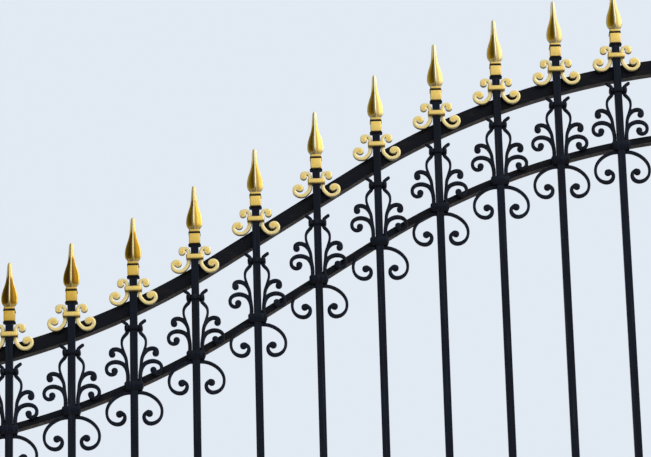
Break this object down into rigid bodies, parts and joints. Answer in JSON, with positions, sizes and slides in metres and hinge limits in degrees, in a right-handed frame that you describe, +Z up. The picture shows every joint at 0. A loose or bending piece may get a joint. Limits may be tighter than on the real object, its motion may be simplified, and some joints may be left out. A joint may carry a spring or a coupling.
{
  "type": "pair of wrought iron driveway gates with posts",
  "caption": "Swan-neck double driveway gate in black iron with gilded spearheads and scrollwork, hinged between two square posts.",
  "frame": {"origin": "centre of the underside of the left post's base plate, with the left post seen from the front", "axes": "+X along the gate from the left post to the right one, +Y through the gate to the side the leaves open to, +Z up; the pickets and scrollwork are on the -Y side"},
  "size_m": [4.58, 0.3, 3.3581],
  "materials": {
    "black_paint": "satin black gate paint over forged iron",
    "gold_paint": "bright gold paint with a metallic sheen"
  },
  "bodies": {
    "posts": {"left_post": "black_paint", "right_post": "black_paint", "left_base_plate": "black_paint", "right_base_plate": "black_paint", "left_post_cap": "black_paint", "right_post_cap": "black_paint", "left_hinge_brackets": "black_paint", "right_hinge_brackets": "black_paint"},
    "left_leaf": {"left_hinge_stile": "black_paint", "left_meeting_stile": "black_paint", "left_top_rail": "black_paint", "left_second_rail": "black_paint", "left_lock_rail": "black_paint", "left_bottom_rail": "black_paint", "left_pickets": "black_paint", "left_spearheads": "gold_paint", "left_spear_sockets": "gold_paint", "left_spear_collars": "black_paint", "left_gold_bands": "gold_paint", "left_gold_scrolls": "gold_paint", "left_top_collars": "black_paint", "left_branch_scrolls": "black_paint", "left_lower_collars": "black_paint", "left_c_scrolls": "black_paint", "left_hinge_eyes": "black_paint"},
    "right_leaf": {"right_hinge_stile": "black_paint", "right_meeting_stile": "black_paint", "right_top_rail": "black_paint", "right_second_rail": "black_paint", "right_lock_rail": "black_paint", "right_bottom_rail": "black_paint", "right_pickets": "black_paint", "right_spearheads": "gold_paint", "right_spear_sockets": "gold_paint", "right_spear_collars": "black_paint", "right_gold_bands": "gold_paint", "right_gold_scrolls": "gold_paint", "right_top_collars": "black_paint", "right_branch_scrolls": "black_paint", "right_lower_collars": "black_paint", "right_c_scrolls": "black_paint", "right_hinge_eyes": "black_paint"}
  },
  "joints": [
    {"name": "left_leaf_hinge", "type": "hinge", "parent": "posts", "child": "left_leaf", "pos_m": [0.11, 0.002, 0], "axis": [0, 0, 1], "range_deg": [0, 90]},
    {"name": "right_leaf_hinge", "type": "hinge", "parent": "posts", "child": "right_leaf", "pos_m": [4.17, 0.002, 0], "axis": [0, 0, -1], "range_deg": [0, 90]}
  ]
}
